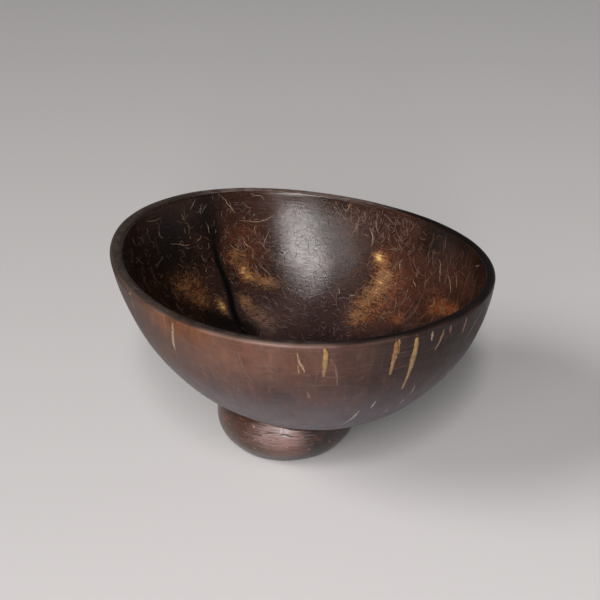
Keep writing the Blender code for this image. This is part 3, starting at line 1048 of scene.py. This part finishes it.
def foot_shell():
    s = blank_shader("polished_shell_foot")
    up = s.split(s.place)[2]
    way = level_way(s)
    toward_x = s.split(way)[0]
    broad = s.noise(0.09, 3, 0.6)
    patchy = s.noise(0.3, 4, 0.6)
    streaks = s.noise(1, 4, 0.65, s.vector("MULTIPLY", s.place, (0.16, 0.16, 2.6)))
    hairline = s.noise(1, 3, 0.6, s.vector("MULTIPLY", s.place, (0.3, 0.3, 6)))
    flecks = s.noise(0.95, 3, 0.6)
    s.colour = s.mix(s.step(broad, 0.35, 0.65), (60, 33, 25), (82, 48, 34))
    # Painted shade down the foot's -X and +X sides, darkest on +X.
    s.tint(toward_x, -0.12, -0.55, 0.85, (48, 27, 16))
    s.tint(toward_x, 0.03, 0.42, 0.95, (22, 11, 9))
    s.tint(patchy, 0.5, 0.75, 0.55, (106, 62, 40))
    # A painted highlight on the foot's front, in its upper half, broken by streaks.
    facing = s.vector("DOT_PRODUCT", way, (-0.08, -0.997, 0))
    painted_highlight = s.step(s.plus(facing, s.times(streaks, 0.4)), 1.08, 1.24)
    painted_highlight = s.times(painted_highlight, s.step(up, 6.5, 13.5, 0.12, 0.5))
    s.lay(painted_highlight, (172, 144, 140))
    s.tint(streaks, 0.48, 0.28, 0.5, (42, 23, 18))
    s.tint(streaks, 0.57, 0.77, 0.35, (150, 110, 92))
    s.tint(flecks, 0.64, 0.74, 0.7, (190, 160, 136))
    # Painted dark bluish reflection along the foot's lower edge.
    s.tint(up, 7, 2, 0.8, (46, 39, 43))
    s.lay(s.step(s.attribute("crack"), 0.02, 0.07), (16, 9, 8))
    height = s.plus(s.times(streaks, 0.5), s.plus(s.times(hairline, 0.3), s.times(flecks, 0.2)))
    rough = s.step(hairline, 0.3, 0.7, 0.26, 0.4, False)
    return s.finish(rough, s.bump(height, 0.00018, 0.6), 0.5, 0.2, 0.24)


def dried_glue():
    s = blank_shader("dried_glue")
    lumps = s.noise(0.7, 3, 0.6)
    dust = s.noise(3, 3, 0.6)
    s.colour = s.mix(s.step(lumps, 0.3, 0.7), (24, 17, 14), (44, 32, 26))
    s.tint(dust, 0.6, 0.75, 0.5, (92, 76, 62))
    height = s.plus(lumps, s.times(dust, 0.3))
    rough = s.step(lumps, 0.3, 0.7, 0.45, 0.65, False)
    return s.finish(rough, s.bump(height, 0.0003, 0.6), 0.4)


for make in (shell_outside, shell_inside, cut_rim):
    bowl.data.materials.append(make())
vertex_side = bowl_side.reshape(-1)[bowl_used]
for face in bowl.data.polygons:
    middle = sum(vertex_side[v] for v in face.vertices) / len(face.vertices)
    face.material_index = 0 if middle < 0.06 else (1 if middle > 0.94 else 2)
foot.data.materials.append(foot_shell())
glue.data.materials.append(dried_glue())
bare_marks().data.materials.append(bare_fibre("bare_golden_fibre", 0.42))
loose_fibres().data.materials.append(bare_fibre("loose_pale_fibre", 0.36))


# ---- floor, light and camera
FLOOR_RADIUS = 9
FLOOR_SIDES = 64
floor_mesh = bpy.data.meshes.new("floor")
floor_angles = [i * TAU / FLOOR_SIDES for i in range(FLOOR_SIDES)]
floor_ring = [(FLOOR_RADIUS * cos(a), FLOOR_RADIUS * sin(a), 0.0) for a in floor_angles]
floor_mesh.from_pydata(floor_ring, [], [tuple(range(FLOOR_SIDES))])
floor = added("floor", floor_mesh)
pale_floor = Shader("pale_floor")
pale_floor.colour = tone(204, 203, 203)
floor_mesh.materials.append(pale_floor.finish(0.75))

# The middle of the view, a little toward +X from the foot's axis.
look_at = np.array([FOOT_X + 5.04, FOOT_Y, 54.9]) * MM


def placed(name, data, azimuth, elevation, distance):
    """Puts a camera or light at a bearing from the bowl, aimed at it. Azimuth is in degrees
    anticlockwise from +X, seen from above."""
    a, e = radians(azimuth), radians(elevation)
    away = np.array([cos(a) * cos(e), sin(a) * cos(e), sin(e)])
    obj = added(name, data)
    obj.location = look_at + away * distance
    obj.rotation_euler = (pi / 2 - e, 0, a + pi / 2)
    return obj


VIEW_ELEVATION = 25.2
VIEW_DISTANCE = 0.4594
camera_data = bpy.data.cameras.new("camera")
camera_data.lens = 78
camera_data.sensor_width = 36
scene.camera = placed("camera", camera_data, -90, VIEW_ELEVATION, VIEW_DISTANCE)


def softbox(name, azimuth, elevation, distance, width, height, power, colour):
    data = bpy.data.lights.new(name, "AREA")
    data.shape = "RECTANGLE"
    data.size = width
    data.size_y = height
    data.energy = power
    data.color = colour
    placed(name, data, azimuth, elevation, distance).visible_camera = False


softbox("window", -92.5, 29, 1.2, 0.14, 1.1, 16.8, (1, 0.955, 0.95))
softbox("wide", -114, 26, 1.3, 0.45, 0.9, 4, (1, 0.94, 0.92))

key_data = bpy.data.lights.new("key", "SUN")
key_data.energy = 1.8
key_data.angle = radians(28)
key_data.color = (1, 0.98, 0.95)
placed("key", key_data, -164, 37, 1.3).visible_glossy = False

# A dim room, pale low down, so that the floor meets a pale backdrop.
room = Shader("studio", bpy.data.worlds, "Background")
height = room.split(room.add("ShaderNodeTexCoord").outputs["Generated"])[2]
room.put(room.surface.inputs["Strength"], room.step(height, 0.1, 0.26, 0.24, 0.04))
room.put(room.surface.inputs["Color"], (0.95, 0.97, 1, 1))
scene.world = room.owner
scene.view_settings.view_transform = "Standard"
